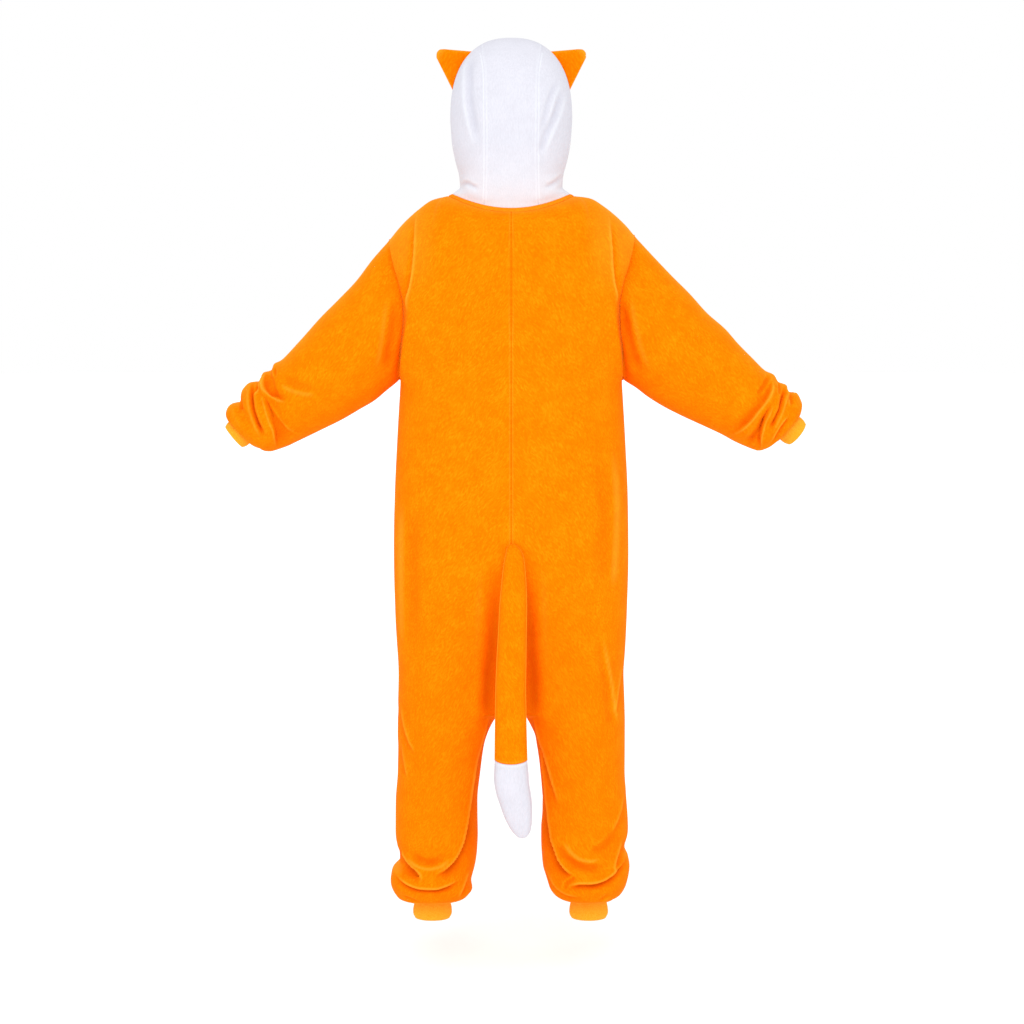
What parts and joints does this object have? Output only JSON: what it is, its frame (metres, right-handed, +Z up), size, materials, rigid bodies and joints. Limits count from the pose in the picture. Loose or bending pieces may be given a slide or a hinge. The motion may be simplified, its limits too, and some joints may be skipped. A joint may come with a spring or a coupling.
{
  "type": "hooded animal onesie",
  "caption": "Loose one-piece fox suit in soft fleece with a white hood, pointed ears, hanging white-tipped tail, buttoned front and rib cuffs, open for a wearer.",
  "frame": {"origin": "middle of the neck opening, level with its sides, where the wearer's shoulders carry the garment", "axes": "+Z up towards the hood, -Y towards the front of the garment, +X towards the wearer's left sleeve"},
  "size_m": [1.044, 0.3323, 1.5876],
  "materials": {
    "orange_fleece": "short brushed pile, matt",
    "white_fleece": "short brushed pile, matt",
    "orange_rib": "ribbed knit, matt",
    "button_plastic": "satin"
  },
  "bodies": {
    "root": {"back_left": "orange_fleece", "back_right": "orange_fleece", "front_left": "orange_fleece", "front_right": "orange_fleece", "sleeve_left": "orange_fleece", "sleeve_right": "orange_fleece", "neck_binding": "orange_fleece", "ear_left": "orange_fleece", "ear_right": "orange_fleece", "tail": "orange_fleece", "front_placket": "orange_fleece", "hood_side_left": "white_fleece", "hood_side_right": "white_fleece", "hood_middle": "white_fleece", "tail_tip": "white_fleece", "wrist_cuff_left": "orange_rib", "wrist_cuff_right": "orange_rib", "ankle_cuff_left": "orange_rib", "ankle_cuff_right": "orange_rib", "button_1": "button_plastic", "button_2": "button_plastic", "button_3": "button_plastic", "button_4": "button_plastic", "button_5": "button_plastic", "button_6": "button_plastic"}
  },
  "joints": []
}
